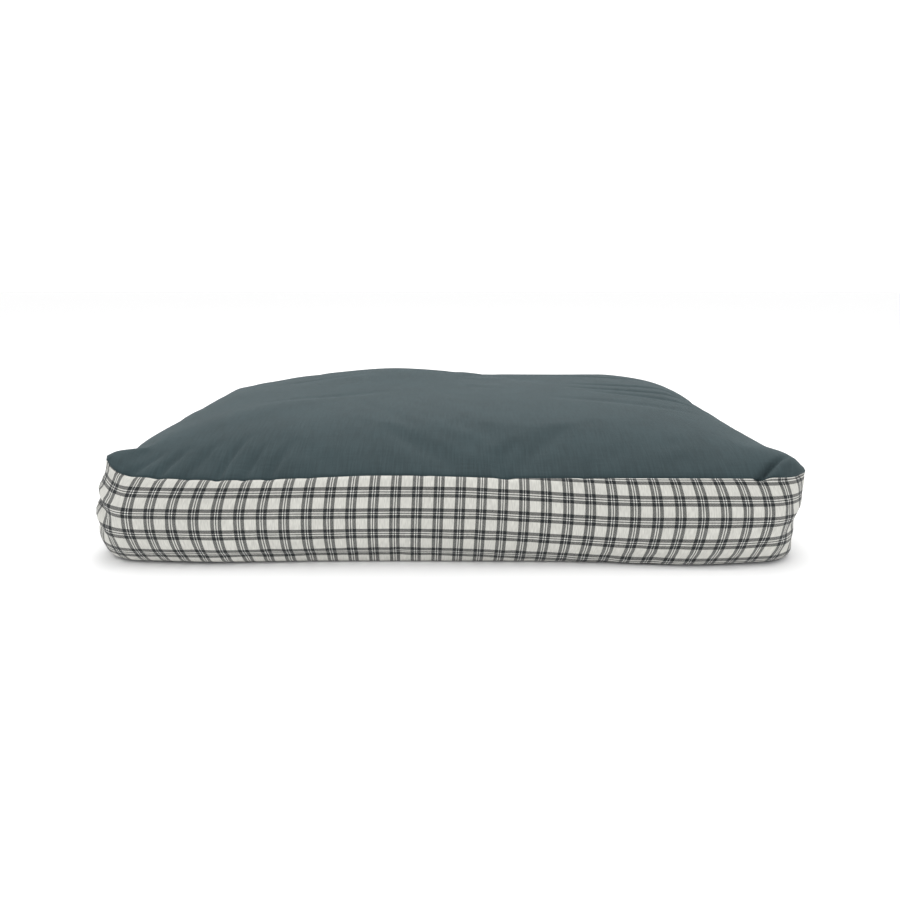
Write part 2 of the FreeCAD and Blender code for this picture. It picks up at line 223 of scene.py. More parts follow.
swelling = 0.0075       # air pressure lifts the crown by this much later, so it starts lower
hair = 1e-5             # less than any real gap, to tell which corners lie on a plane
low_swell = 0.0035      # the wall bellies out this much more where the filling sags
crown_rise = crown_top - seam_z - swelling
crown_power, front_power, crown_fullness = 5.4, 3.2, 0.8        # the front slope is the longest
plan_x, plan_y = rounded(blank[:, 0], blank[:, 1])
out_x, out_y = outward(plan_x, plan_y)
height_share = (blank[:, 2] - floor_seam_z) / (seam_z - floor_seam_z)
on_wall = (np.abs(blank[:, 0]) > half_length - hair) | (np.abs(blank[:, 1]) > half_depth - hair)
on_top = height_share > 1 - 1e-4
on_bottom = height_share < 1e-4
wall_length = along_wall(plan_x, plan_y)
near_edge = np.minimum(half_length - np.abs(blank[:, 0]), half_depth - np.abs(blank[:, 1]))
length_share = np.abs(blank[:, 0] / half_length)
depth_share = np.abs(blank[:, 1] / half_depth)
depth_power = np.where(blank[:, 1] < 0, front_power, crown_power)
crown = ((1 - length_share ** crown_power) * (1 - depth_share ** depth_power)).clip(0) ** crown_fullness
at_back = eased(plan_y, half_depth - 1.5 * corner_radius, half_depth - 0.5 * corner_radius)
sag = (1 - at_back) * (1 - 0.75 * hump(wall_length, -0.070, 0.080))
low_belly = np.sin(math.pi * height_share ** (1 - 0.35 * sag)) * (wall_bulge + low_swell * sag)
half_height = (seam_z - floor_seam_z) / 2
arc_radius = (half_height ** 2 + wall_bulge ** 2) / (2 * wall_bulge)
from_middle = (height_share - 0.5) * 2 * half_height
even_belly = np.sqrt(arc_radius ** 2 - from_middle ** 2) - arc_radius + wall_bulge
belly = at_back * even_belly + (1 - at_back) * low_belly
stuffed = np.stack([plan_x, plan_y, blank[:, 2]], axis=1)
stuffed[:, 0] += np.where(on_wall, out_x * belly, 0)
stuffed[:, 1] += np.where(on_wall, out_y * belly, 0)
stuffed[:, 2] += np.where(on_top, crown_rise * crown, 0)
print("stuffed height", round(stuffed[:, 2].max(), 4), "of", round(crown_top, 4))

# %% [markdown]
# ## The unevenness of a stuffed cover
# No seam on a stuffed cover runs level, and no filling lies even. Fibre gathers here and there: it
# lifts the seam, fills a corner or leaves a shoulder low. Each uneven place below is a soft hump
# with a place, a reach and a height, so the whole shape is a short list that can be read aloud.

# %% Humps in the seam, the wall and the crown
seam_humps = [          # place along the wall, reach, lift
    (-0.070, 0.100, 0.0038), (-0.458, 0.041, 0.0195), (-0.385, 0.050, 0.0020),
    (-0.280, 0.100, -0.0025),
]
crown_humps = [         # x, y, reach along x, reach along y, lift
    (-0.110, 0.200, 0.110, 0.140, 0.0110), (-0.370, 0.260, 0.100, 0.140, -0.0150),
    (-0.430, 0.270, 0.070, 0.090, -0.0100), (0.130, 0.200, 0.140, 0.140, -0.0060),
    (-0.430, -0.305, 0.040, 0.040, 0.0050), (0.430, -0.300, 0.050, 0.045, 0.0115),
    (0.400, 0.080, 0.080, 0.160, 0.0070),
]
wall_humps = [          # place along the wall, height share, reach along, reach up, push outwards
    (0.475, 1.00, 0.060, 0.20, 0.0050), (0.485, 0.30, 0.070, 0.32, -0.0160),
    (0.310, 0.00, 0.110, 0.40, 0.0130), (0.430, 0.00, 0.040, 0.12, 0.0040),
    (-0.310, 0.00, 0.090, 0.40, 0.0080), (-0.480, 0.25, 0.070, 0.30, -0.0040),
    (-0.480, 0.80, 0.060, 0.25, -0.0050),
    (-0.515, 1.00, 0.050, 0.25, -0.0120), (-0.515, 0.55, 0.050, 0.30, -0.0110),
    (-0.450, 1.00, 0.030, 0.20, -0.0035),
]
overall_lift = -0.0022
canvas_follows, push_fades = 0.05, 0.04       # how far in from the seam a lift or a push reaches
base_rise = 0.0026                            # the dark base just shows under two lifted places
seam_lift = overall_lift + sum(lift * hump(wall_length, place, reach) for place, reach, lift in seam_humps)
crown_lift = sum(
    lift * hump(plan_x, x, reach_x) * hump(plan_y, y, reach_y)
    for x, y, reach_x, reach_y, lift in crown_humps
)
crown_lift = np.where(crown_lift < 0, crown_lift * crown ** 0.8, crown_lift)     # never below the seam
push = sum(
    amount * hump(wall_length, place, reach) * hump(height_share, level, reach_up)
    for place, level, reach, reach_up, amount in wall_humps
)
lift_reach = np.where(on_top, np.exp(-near_edge / canvas_follows), height_share ** 1.5)
seam_rise = (seam_lift - seam_lift.mean()) * lift_reach
push_reach = np.where(on_wall, 1, np.exp(-near_edge / push_fades))
base_lift = base_rise * (hump(wall_length, -0.340, 0.110) + hump(wall_length, 0.440, 0.090))
shaped = stuffed.copy()
shaped[:, 2] += np.where(on_wall, base_lift * (1 - height_share) ** 3, 0)
shaped[:, 2] += np.where(on_bottom, 0, seam_lift * lift_reach)
shaped[:, 2] += np.where(on_top, crown_lift * eased(near_edge, 0.0, 0.02), 0)
shaped[:, 0] += out_x * push * push_reach
shaped[:, 1] += out_y * push * push_reach
move_to(cover, shaped)
print("seam runs between", round(seam_z + seam_lift.min(), 4), "and", round(seam_z + seam_lift.max(), 4))

# %% [markdown]
# ## Letting the cloth find its creases
# The cover is now simulated as cloth under a little air pressure. It is cut a little larger than
# the shape that it fills, so the spare cloth has to crease, as it does on the real cover. The
# underside is held, because the bed rests on it, and so are the edges of the zip.

# %% Cloth simulation
spare_cloth = 0.007             # the cloth is cut larger by this share
simulation_frames = 20
farthest_move = 0.012
canvas_hold, wall_hold, seam_hold = 0.08, 0.25, 0.3
zip_band = 0.012                # held cloth above and below the zip


def held_weights():
    """How firmly each corner is held in place, from 0 to 1."""
    weights = np.where(on_top, canvas_hold, wall_hold)
    weights[on_wall & on_top] = seam_hold
    weights[on_bottom] = 1
    by_zip = (blank[:, 1] > half_depth - hair) & (np.abs(blank[:, 0]) < strip_end + 0.01)
    by_zip &= (blank[:, 2] > zip_low - zip_band) & (blank[:, 2] < zip_high + zip_band)
    weights[by_zip] = 1
    return weights


def simulate(piece):
    """Runs the cloth for a few frames and returns where its corners come to rest."""
    hold = piece.vertex_groups.new(name="hold")
    weights = held_weights()
    for weight in np.unique(weights):
        hold.add([int(i) for i in np.nonzero(weights == weight)[0]], float(weight), "REPLACE")
    cloth_modifier = piece.modifiers.new("cloth", "CLOTH")
    settings = cloth_modifier.settings
    settings.quality = 5
    settings.mass = 0.25
    settings.tension_stiffness = settings.compression_stiffness = 30
    settings.shear_stiffness = 15
    settings.bending_stiffness = 1.0
    settings.air_damping = 4
    settings.use_pressure = True
    settings.uniform_pressure_force = 1.0
    settings.shrink_min = -spare_cloth
    settings.effector_weights.gravity = 0
    settings.vertex_group_mass = "hold"
    cloth_modifier.collision_settings.use_collision = False
    cloth_modifier.point_cache.frame_end = simulation_frames
    for frame_number in range(1, simulation_frames + 1):
        bpy.context.scene.frame_set(frame_number)
    take(piece)
    bpy.ops.object.modifier_apply(modifier="cloth")
    bpy.context.scene.frame_set(1)
    piece.vertex_groups.clear()
    return coordinates(piece)


relaxed = simulate(cover)
move = relaxed - shaped
distance = np.linalg.norm(move, axis=1, keepdims=True)
relaxed = shaped + move * np.minimum(1, farthest_move / np.maximum(distance, 1e-9))
relaxed[:, 2] = np.maximum(relaxed[:, 2], floor_seam_z)
move_to(cover, relaxed)
print("cloth moved at most", round(float(distance.max()) * 1000, 1), "mm, on average",
      round(float(distance.mean()) * 1000, 1), "mm")

# %% [markdown]
# ## A pattern that follows the cloth
# Check is woven into the cloth before it is cut, so its stripes bend and stretch with every
# crease. The map below gives each corner its place on the flat cloth, in metres: along and up the
# strip on the wall, and across and down on the panels. The strip was not cut quite on the thread,
# so its rows drift down a little to the right, and the stuffing pushes its stripes outwards.

# %% Map of the flat cloth
pattern_drop = 0.0105           # the rows run down this much towards the right
bow_depth, bow_reach = 0.016, 0.36
stripe_lean = 0.0045
faces = np.array([list(face.vertices) for face in cover.data.polygons])
face_middle = blank[faces].mean(axis=1)
is_top = face_middle[:, 2] > seam_z - 1e-4
is_bottom = face_middle[:, 2] < floor_seam_z + 1e-4
is_wall = ~(is_top | is_bottom)
is_back = is_wall & (face_middle[:, 1] > half_depth - 1e-4)
is_back &= np.abs(face_middle[:, 0]) < strip_end + 0.004
flat = np.where(is_wall[:, None, None], 0, blank[faces][:, :, :2])
along_strip = along_wall(*rounded(blank[:, 0], blank[:, 1]))[faces]
along_strip = np.where((face_middle[:, 0] < 0)[:, None], -np.abs(along_strip), np.abs(along_strip))
along_strip = np.where(is_back[:, None], -blank[faces][:, :, 0], along_strip)
down = 1 - height_share[faces]
bow = bow_depth * np.minimum(np.abs(along_strip) / bow_reach, 1) ** 1.6 * np.where(is_back, 0.3, 1)[:, None]
bow = bow * np.sin(math.pi * (1.06 * down) ** 0.9) * (1 - 0.9 * eased(np.abs(along_strip), 0.44, 0.60))
pushed = bow * np.sign(along_strip) - stripe_lean * down
left_behind = 0.6 - 0.5 * eased(-along_strip, 0.38, 0.46)   # share of the seam's rise that rows miss
up_strip = blank[faces][:, :, 2] + pattern_drop * eased(along_strip, 0.0, 0.25)
up_strip += left_behind * seam_rise[faces]
flat = np.where(is_wall[:, None, None], np.stack([along_strip - pushed, up_strip], axis=2), flat)
cloth_map = cover.data.uv_layers.new(name="cloth")
cloth_map.data.foreach_set("uv", flat.reshape(-1))
print("wall strip runs", round(float(along_strip.min()), 3), "to", round(float(along_strip.max()), 3), "m")

# %% [markdown]
# ## Cutting the cover into its panels
# The real cover is seven pieces of cloth. Working on one closed mesh kept the seams together during
# the simulation. Each face is now numbered by its panel, the whole cover is smoothed once so that
# neighbours still meet exactly, and then each panel becomes its own object.

# %% Number the faces by panel
on_front_strip = is_wall & (face_middle[:, 1] < join_y)
right_strip = is_wall & ~on_front_strip & ~is_back & (face_middle[:, 0] > 0)
left_strip = is_wall & ~on_front_strip & ~is_back & (face_middle[:, 0] < 0)
panel_names = ["zip_gap", "canvas_top", "dark_base", "check_wall_front", "check_wall_right",
               "check_wall_left", "check_strip_upper", "check_strip_lower"]
panel_masks = [is_top, is_bottom, on_front_strip, right_strip, left_strip,
               is_back & (face_middle[:, 2] > zip_high - 0.002),
               is_back & (face_middle[:, 2] < zip_low + 0.002)]
number = np.zeros(len(faces), dtype=np.int32)
for index, mask in enumerate(panel_masks):
    number[mask] = index + 1
for name in panel_names:
    cover.data.materials.append(bpy.data.materials.new("blank_" + name))
cover.data.polygons.foreach_set("material_index", number)
print({name: int((number == index).sum()) for index, name in enumerate(panel_names)})

# %% Crease the seams and smooth the cover once
edit = bmesh.new()
edit.from_mesh(cover.data)
seam_crease = 0.7               # 1 would keep the seam perfectly sharp
crease = edit.edges.layers.float.new("crease_edge")
for edge in edit.edges:
    a, b = edge.link_faces
    if a.material_index != b.material_index:
        edge[crease] = seam_crease
edit.to_mesh(cover.data)
edit.free()
take(cover)
smooth = cover.modifiers.new("smooth", "SUBSURF")
smooth.levels = smooth.render_levels = 1
bpy.ops.object.modifier_apply(modifier="smooth")
print("smoothed cover:", len(cover.data.vertices), "corners")

# %% [markdown]
# ## Creases left by a hand
# The simulation gives the soft waves of spare cloth. The sharper creases come from sewing and from
# handling: a dart of cloth caught at one corner, gathers along the seam, long creases where the
# cover was drawn over its filling, and a crumpled corner. Each is a fold, a ridge or a groove drawn
# from one place to another that fades out at both ends, and it moves the cloth square to itself.

# %% Folds in the canvas and the wall
def fold(across, up, start, end, width):
    """A soft ridge from start to end, fading out at both ends."""
    run_across, run_up = end[0] - start[0], end[1] - start[1]
    run = math.hypot(run_across, run_up)
    share = ((across - start[0]) * run_across + (up - start[1]) * run_up) / run ** 2
    beside = ((across - start[0]) * run_up - (up - start[1]) * run_across) / run
    return np.sin(math.pi * np.clip(share, 0, 1)) * np.exp(-(beside / width) ** 2)


canvas_folds = [        # from, to, width, height
    ((0.350, -0.372), (0.436, -0.306), 0.0034, -0.0105),
    ((0.362, -0.384), (0.452, -0.302), 0.0100, 0.0055),
    ((0.430, -0.380), (0.500, -0.270), 0.0200, 0.0050),
    ((-0.305, -0.395), (-0.270, -0.255), 0.0050, -0.0040),
    ((-0.272, -0.390), (-0.240, -0.275), 0.0045, -0.0032),
    ((-0.242, -0.395), (-0.205, -0.265), 0.0060, -0.0034),
    ((-0.385, -0.390), (-0.340, -0.280), 0.0060, -0.0038),
    ((-0.415, -0.375), (-0.370, -0.290), 0.0050, -0.0028),
    ((-0.345, -0.390), (-0.305, -0.270), 0.0060, -0.0024),
    ((-0.185, -0.385), (-0.170, -0.300), 0.0060, -0.0014),
    ((0.060, -0.385), (0.066, -0.300), 0.0060, -0.0012),
    ((0.165, -0.385), (0.172, -0.290), 0.0060, -0.0014),
    ((-0.030, -0.385), (-0.040, -0.290), 0.0060, -0.0012),
    ((-0.440, -0.310), (-0.190, -0.060), 0.0400, 0.0040),
    ((-0.300, -0.120), (-0.080, -0.020), 0.0120, -0.0016),
    ((0.160, 0.190), (0.440, 0.130), 0.0080, -0.0022), ((0.200, 0.070), (0.450, 0.020), 0.0070, -0.0032),
    ((0.190, 0.030), (0.455, -0.040), 0.0075, -0.0034),
    ((0.230, -0.015), (0.445, -0.100), 0.0080, -0.0030),
    ((0.150, -0.070), (0.400, -0.150), 0.0110, -0.0016),
    ((-0.360, 0.060), (-0.160, 0.130), 0.0100, -0.0016),
]
wall_folds = [          # the same, along the wall and up it
    ((-0.520, 0.128), (-0.395, 0.062), 0.0060, 0.0050),
    ((-0.525, 0.098), (-0.410, 0.036), 0.0060, 0.0050),
    ((-0.530, 0.066), (-0.440, 0.020), 0.0070, 0.0040),
    ((-0.505, 0.110), (-0.420, 0.056), 0.0050, -0.0045),
    ((-0.520, 0.080), (-0.430, 0.030), 0.0050, -0.0035), ((0.405, 0.054), (0.475, 0.080), 0.0060, 0.0018),
    ((0.395, 0.018), (0.470, 0.044), 0.0060, 0.0018), ((0.415, 0.037), (0.475, 0.062), 0.0050, -0.0018),
    ((-0.400, 0.015), (0.060, 0.011), 0.0045, -0.0030), ((0.080, 0.016), (0.420, 0.013), 0.0050, -0.0022),
]


def folded(folds, across, up):
    """Height of all the folds together."""
    return sum(height * fold(across, up, start, end, width) for start, end, width, height in folds)


def surface_directions(piece):
    directions = np.empty(len(piece.data.vertices) * 3)
    piece.data.vertices.foreach_get("normal", directions)
    return directions.reshape(-1, 3)


places = coordinates(cover)
facing = surface_directions(cover)
upwards = eased(facing[:, 2], 0.20, 0.55)
sideways = eased(1 - np.abs(facing[:, 2]), 0.30, 0.60) * eased(places[:, 2], 0.0, 0.008)
wall_place = along_wall(places[:, 0], places[:, 1])
canvas_depth = folded(canvas_folds, places[:, 0], places[:, 1])
wall_depth = folded(wall_folds, wall_place, places[:, 2])
places += facing * (canvas_depth * upwards + wall_depth * sideways * (1 - upwards))[:, None]
move_to(cover, places)
print("deepest crease", round(float(-canvas_depth.min()) * 1000, 1), "mm")

# %% [markdown]
# ## Seams that read as seams
# Where two panels are sewn, both edges turn in and leave a narrow dark valley. The corners on a
# seam are pulled in a little, and then every panel gets a narrow hem that goes on inwards.

# %% Pull the seams in
groove = 0.0012
cover_normals = surface_directions(cover)
edit = bmesh.new()
edit.from_mesh(cover.data)
seam_corners = sorted({corner.index for edge in edit.edges for corner in edge.verts
                       if edge.link_faces[0].material_index != edge.link_faces[1].material_index})
edit.free()
places = coordinates(cover)
places[seam_corners] -= groove * cover_normals[seam_corners]
move_to(cover, places)
inward = cover.data.attributes.new("inward", "FLOAT_VECTOR", "POINT")
inward.data.foreach_set("vector", -cover_normals.reshape(-1))
print("corners on seams:", len(seam_corners))


# %% Cut the panels, turn their edges in and give them the thickness of cloth
def panel_from_cover(name):
    """Copies the cover and keeps only the faces of one panel."""
    panel = cover.copy()
    panel.data = cover.data.copy()
    panel.name = panel.data.name = name
    bpy.context.collection.objects.link(panel)
    keep = panel_names.index(name)
    edit = bmesh.new()
    edit.from_mesh(panel.data)
    bmesh.ops.delete(edit, geom=[f for f in edit.faces if f.material_index != keep], context="FACES")
    edit.to_mesh(panel.data)
    edit.free()
    panel.data.materials.clear()
    return panel


edge_turn = 0.0028
zip_turn = 0.0018       # stays in front of the zip tape


def turn_edges_in(panel):
    """Extrudes the open edge of a panel inwards, square to the cover's surface, and less at the zip."""
    take(panel)
    bpy.ops.object.mode_set(mode="EDIT")
    bpy.ops.mesh.select_mode(type="EDGE")
    bpy.ops.mesh.select_all(action="DESELECT")
    bpy.ops.mesh.select_non_manifold(extend=False, use_multi_face=False, use_non_contiguous=False,
                                     use_verts=False)
    bpy.ops.mesh.extrude_edges_move(TRANSFORM_OT_translate={"value": (0, 0, 0)})
    edit = bmesh.from_edit_mesh(panel.data)
    direction = edit.verts.layers.float_vector["inward"]
    for corner in edit.verts:
        if corner.select:
            at_zip = corner.co.y > half_depth and zip_low - 0.004 < corner.co.z < zip_high + 0.004
            corner.co += corner[direction] * (zip_turn if at_zip else edge_turn)
    bmesh.update_edit_mesh(panel.data)
    bpy.ops.object.mode_set(mode="OBJECT")


def thicken(piece, thickness, offset=-1):
    take(piece)
    layer = piece.modifiers.new("thickness", "SOLIDIFY")
    layer.thickness = thickness
    layer.offset = offset
    bpy.ops.object.modifier_apply(modifier="thickness")


cut = {}
for name in panel_names[1:]:
    cut[name] = panel_from_cover(name)
    turn_edges_in(cut[name])
    thicken(cut[name], cloth)
    bpy.ops.object.shade_smooth()
    print(name, len(cut[name].data.polygons), "faces")

# %% [markdown]
# ## The inner cushion
# Inside the zipped cover lies a plain bag filled with fibre. It is the same shape, a little
# smaller, so it is a copy of the cover pushed in along its own surface, and softened because a
# bag doesn't share the cover's creases.

# %% Inner bag and fibre
def inset_copy(name, depth):
    piece = cover.copy()
    piece.data = cover.data.copy()
    piece.name = piece.data.name = name
    bpy.context.collection.objects.link(piece)
    piece.data.materials.clear()
    move_to(piece, places - depth * cover_normals)
    take(piece)
    soften = piece.modifiers.new("soften", "SMOOTH")
    soften.factor, soften.iterations = 0.5, 12
    bpy.ops.object.modifier_apply(modifier="soften")
    softened = coordinates(piece)
    softened[:, 2] = np.maximum(softened[:, 2], floor_seam_z + 2 * cloth + (depth - bag_depth))
    move_to(piece, softened)
    bpy.ops.object.shade_smooth()
    return piece


bag_depth, bag_cloth_depth = 0.0085, 0.0015
inner_bag = inset_copy("inner_bag", bag_depth)
fibre = inset_copy("fibre_filling", bag_depth + bag_cloth_depth)
print("inner bag:", len(inner_bag.data.vertices), "corners")

# %% [markdown]
# ## Sewing the seams
# On the real cover a thread runs along every seam, hidden just inside the turned edges. The seams of
# the shaped cover are already edges of the mesh, so each thread is those edges, moved in past the
# turned edges and given the thickness of thread. That follows every rise and fall of the seam.

# %% Threads along the seams
thread_depth, thread_thickness = edge_turn + 0.0005, 0.0008
top_dip = 0.0025        # keeps the top thread under the canvas where the seam peaks
top_index, base_index = panel_names.index("canvas_top"), panel_names.index("dark_base")
side_walls = {panel_names.index("check_wall_right"), panel_names.index("check_wall_left")}


def is_wall_join(edge, panels):
    low = min(corner.co.z for corner in edge.verts)
    high = max(corner.co.z for corner in edge.verts)
    upright = low > floor_seam_z + 0.006 and high < seam_z - 0.006
    return upright and bool(panels & side_walls) and not panels & {top_index, base_index}


def sew(name, belongs, dip=0.0):
    """Keeps the cover's edges that belong to a seam and turns them into a thread."""
    thread = cover.copy()
    thread.data = cover.data.copy()
    thread.name = thread.data.name = name
    bpy.context.collection.objects.link(thread)
    edit = bmesh.new()
    edit.from_mesh(thread.data)
    direction = edit.verts.layers.float_vector["inward"]
    seams = [edge for edge in edit.edges
             if len({face.material_index for face in edge.link_faces}) == 2
             and belongs(edge, {face.material_index for face in edge.link_faces})]
    kept = set(seams)
    for corner in edit.verts:
        corner.co += corner[direction] * thread_depth
        corner.co.z -= dip
    bmesh.ops.delete(edit, geom=[edge for edge in edit.edges if edge not in kept], context="EDGES")
    edit.to_mesh(thread.data)
    edit.free()
    thread.data.materials.clear()
    take(thread)
    bpy.ops.object.convert(target="CURVE")
    thread.data.bevel_depth = thread_thickness / 2
    thread.data.bevel_resolution = 1
    thread.data.use_fill_caps = True
    bpy.ops.object.convert(target="MESH")
    bpy.ops.object.shade_smooth()
    print(name, len(thread.data.polygons), "faces")
    return bpy.context.active_object


sewing = {
    "top_seam_sewing": sew("top_seam_sewing", lambda edge, panels: top_index in panels, top_dip),
    "base_seam_sewing": sew("base_seam_sewing", lambda edge, panels: base_index in panels),
    "wall_join_sewing": sew("wall_join_sewing", is_wall_join),
}
bpy.data.objects.remove(cover)

# %% [markdown]
# ## Stitches and coils of the zip
# Beside the zip, a row of stitches shows on each strip: one short stitch is modelled and repeated.
# A coil zip's teeth are loops of one nylon wire. One loop is modelled as a ring, drawn out and
# slanted, and then repeated along the tape at the pitch of the wire.

# %% Repeat a shape along x
def repeat_along(piece, pitch, count):
    take(piece)
    row = piece.modifiers.new("row", "ARRAY")
    row.count = count
    row.use_relative_offset = False
    row.use_constant_offset = True
    row.constant_offset_displace = (pitch, 0, 0)
    bpy.ops.object.modifier_apply(modifier="row")
    bpy.ops.object.shade_smooth()
    print(piece.name, count, "times,", len(piece.data.polygons), "faces")


def pick_corners(piece, test):
    """Selects the corners that pass a test, in edit mode."""
    bpy.ops.mesh.select_mode(type="VERT")
    bpy.ops.mesh.select_all(action="DESELECT")
    edit = bmesh.from_edit_mesh(piece.data)
    for corner in edit.verts:
        corner.select_set(test(corner.co))
    edit.select_flush(True)
    bmesh.update_edit_mesh(piece.data)


# %% Rows of stitches
stitch_pitch, stitch_share = 0.0035, 0.80


def stitch_row(name, cad_node):
    low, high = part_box(cad_node)
    thickness, count = high.z - low.z, int((high.x - low.x) / stitch_pitch)
    half_stitch = stitch_pitch * stitch_share / 2
    middle = Vector((low.x + half_stitch, (low.y + high.y) / 2, (low.z + high.z) / 2))
    deselect_all()
    bpy.ops.mesh.primitive_cylinder_add(vertices=8, radius=thickness / 2, depth=half_stitch,
                                        location=middle, rotation=(0, math.pi / 2, 0))
    stitch = bpy.context.active_object
    stitch.name = stitch.data.name = name
    bpy.ops.object.transform_apply(location=True, rotation=True, scale=True)
    bpy.ops.object.mode_set(mode="EDIT")
    for side in (-1, 1):        # each end is drawn out, narrowed and sunk into the cloth
        pick_corners(stitch, lambda place: (place.x - middle.x) * side > half_stitch * 0.4)
        bpy.ops.mesh.select_mode(type="FACE")
        bpy.ops.mesh.extrude_region_move(
            TRANSFORM_OT_translate={"value": (side * half_stitch / 2, -thickness / 3, 0)})
        bpy.ops.transform.resize(value=(0.6, 0.6, 0.6))
    bpy.ops.object.mode_set(mode="OBJECT")
    repeat_along(stitch, stitch_pitch, count)
    return stitch


zip_stitches = {
    "zip_stitches_upper": stitch_row("zip_stitches_upper", "zip_stitch_upper"),
    "zip_stitches_lower": stitch_row("zip_stitches_lower", "zip_stitch_lower"),
}

# %% Rows of coil
wire, wire_pitch = 0.00055, 0.0014


def coil_row(name, cad_node):
    low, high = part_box(cad_node)
    depth, height = high.y - low.y, high.z - low.z
    count = int((high.x - low.x) / wire_pitch)
    middle = Vector((low.x + wire_pitch / 2, (low.y + high.y) / 2, low.z + depth / 2))
    deselect_all()
    bpy.ops.mesh.primitive_torus_add(major_segments=10, minor_segments=4, minor_radius=wire / 2,
                                     major_radius=(depth - wire) / 2, location=middle,
                                     rotation=(0, math.pi / 2, 0))
    loop = bpy.context.active_object
    loop.name = loop.data.name = name
    bpy.ops.object.transform_apply(location=True, rotation=True, scale=True)
    bpy.ops.object.mode_set(mode="EDIT")
    pick_corners(loop, lambda place: place.z > middle.z + 1e-6)
    bpy.ops.transform.translate(value=(0, 0, height - depth))
    pick_corners(loop, lambda place: place.y > middle.y)
    bpy.ops.transform.translate(value=(wire_pitch / 4, 0, 0))
    bpy.ops.object.mode_set(mode="OBJECT")
    repeat_along(loop, wire_pitch, count)
    return loop


zip_coils = {
    "zip_coil_wire_upper": coil_row("zip_coil_wire_upper", "zip_coil_upper"),
    "zip_coil_wire_lower": coil_row("zip_coil_wire_lower", "zip_coil_lower"),
}

# %% [markdown]
# ## The look of yarn-dyed check
# Warp and weft carry the same order of colours: a dark stripe, a pale hairline, a thin dark line,
# a pale hairline, a dark stripe, and a broad cream ground. Where two dark stripes cross the cloth
# is nearly black, and where a dark one crosses cream it is grey. Building the colour from the two
# yarns gives all of that, where a painted grid of lines would not.

# %% Node helpers
def new_material(name):
    material = bpy.data.materials.new(name)
    material.use_nodes = True
    tree = material.node_tree
    shader = tree.nodes["Principled BSDF"]
    return material, tree, shader


def node(tree, kind, **settings):
    made = tree.nodes.new(kind)
    for key, value in settings.items():
        setattr(made, key, value)
    return made


def wire_up(tree, source, target):
    tree.links.new(source, target)


def math_node(tree, operation, first, second=None):
    made = node(tree, "ShaderNodeMath", operation=operation)
    for socket, value in zip(made.inputs, (first, second)):
        if value is None:
            continue
        if isinstance(value, (int, float)):
            socket.default_value = value
        else:
            wire_up(tree, value, socket)
    return made.outputs[0]


def mix_colours(tree, blend, factor, first, second):
    made = node(tree, "ShaderNodeMix", data_type="RGBA", blend_type=blend)
    for socket, value in zip((made.inputs[0], made.inputs[6], made.inputs[7]), (factor, first, second)):
        if isinstance(value, (int, float, tuple)):
            socket.default_value = value
        else:
            wire_up(tree, value, socket)
    return made.outputs[2]


def cloth_axes(tree):
    """The two directions of the flat cloth, in metres."""
    flat_map = node(tree, "ShaderNodeUVMap", uv_map="cloth")
    parts = node(tree, "ShaderNodeSeparateXYZ")
    wire_up(tree, flat_map.outputs[0], parts.inputs[0])
    return flat_map.outputs[0], parts.outputs[0], parts.outputs[1]


def noise(tree, place, scale, detail=2.0, stretch=None):
    if stretch:
        turned = node(tree, "ShaderNodeMapping")
        turned.inputs["Scale"].default_value = stretch
        wire_up(tree, place, turned.inputs[0])
        place = turned.outputs[0]
    made = node(tree, "ShaderNodeTexNoise")
    made.inputs["Scale"].default_value = scale
    made.inputs["Detail"].default_value = detail
    wire_up(tree, place, made.inputs["Vector"])
    return made.outputs[0]


def ramp(tree, value, stops, smooth=True):
    made = node(tree, "ShaderNodeValToRGB")
    made.color_ramp.interpolation = "LINEAR" if smooth else "CONSTANT"
    while len(made.color_ramp.elements) < len(stops):
        made.color_ramp.elements.new(0.5)
    for element, (place, colour) in zip(made.color_ramp.elements, stops):
        element.position = place
        element.color = colour if isinstance(colour, tuple) else (colour, colour, colour, 1)
    wire_up(tree, value, made.inputs[0])
    return made.outputs[0]


def threads(tree, along, across, pitch):
    """Plain weave: which set of yarns is on top, and the rounded height of the yarns."""
    step = 2 * math.pi / pitch
    warp = math_node(tree, "SINE", math_node(tree, "MULTIPLY", along, step / 2))
    weft = math_node(tree, "SINE", math_node(tree, "MULTIPLY", across, step / 2))
    over = math_node(tree, "GREATER_THAN", math_node(tree, "MULTIPLY", warp, weft), 0.0)
    warp_crown = math_node(tree, "ABSOLUTE", warp)
    weft_crown = math_node(tree, "ABSOLUTE", weft)
    height = math_node(tree, "MULTIPLY", warp_crown, weft_crown)
    return over, height


def bump(tree, shader, height, distance, strength):
    made = node(tree, "ShaderNodeBump")
    made.inputs["Strength"].default_value = strength
    made.inputs["Distance"].default_value = distance
    wire_up(tree, height, made.inputs["Height"])
    wire_up(tree, made.outputs[0], shader.inputs["Normal"])


# %% Yarn-dyed check
cream_yarn = (0.655, 0.650, 0.605, 1)
white_yarn = (0.86, 0.86, 0.82, 1)
charcoal_yarn = (0.016, 0.0195, 0.021, 1)
check_repeat, check_yarn = 0.0265, 0.00085
check_stripes = [
    (0.000, charcoal_yarn), (0.162, white_yarn), (0.208, charcoal_yarn), (0.272, white_yarn),
    (0.318, charcoal_yarn), (0.486, cream_yarn),
]
check_start_along, check_start_up = 0.0068, 0.0105


def yarn_colours(tree, place, start):
    repeats = math_node(tree, "MULTIPLY", math_node(tree, "SUBTRACT", place, start), 1 / check_repeat)
    return ramp(tree, math_node(tree, "FRACT", repeats), check_stripes, smooth=False)


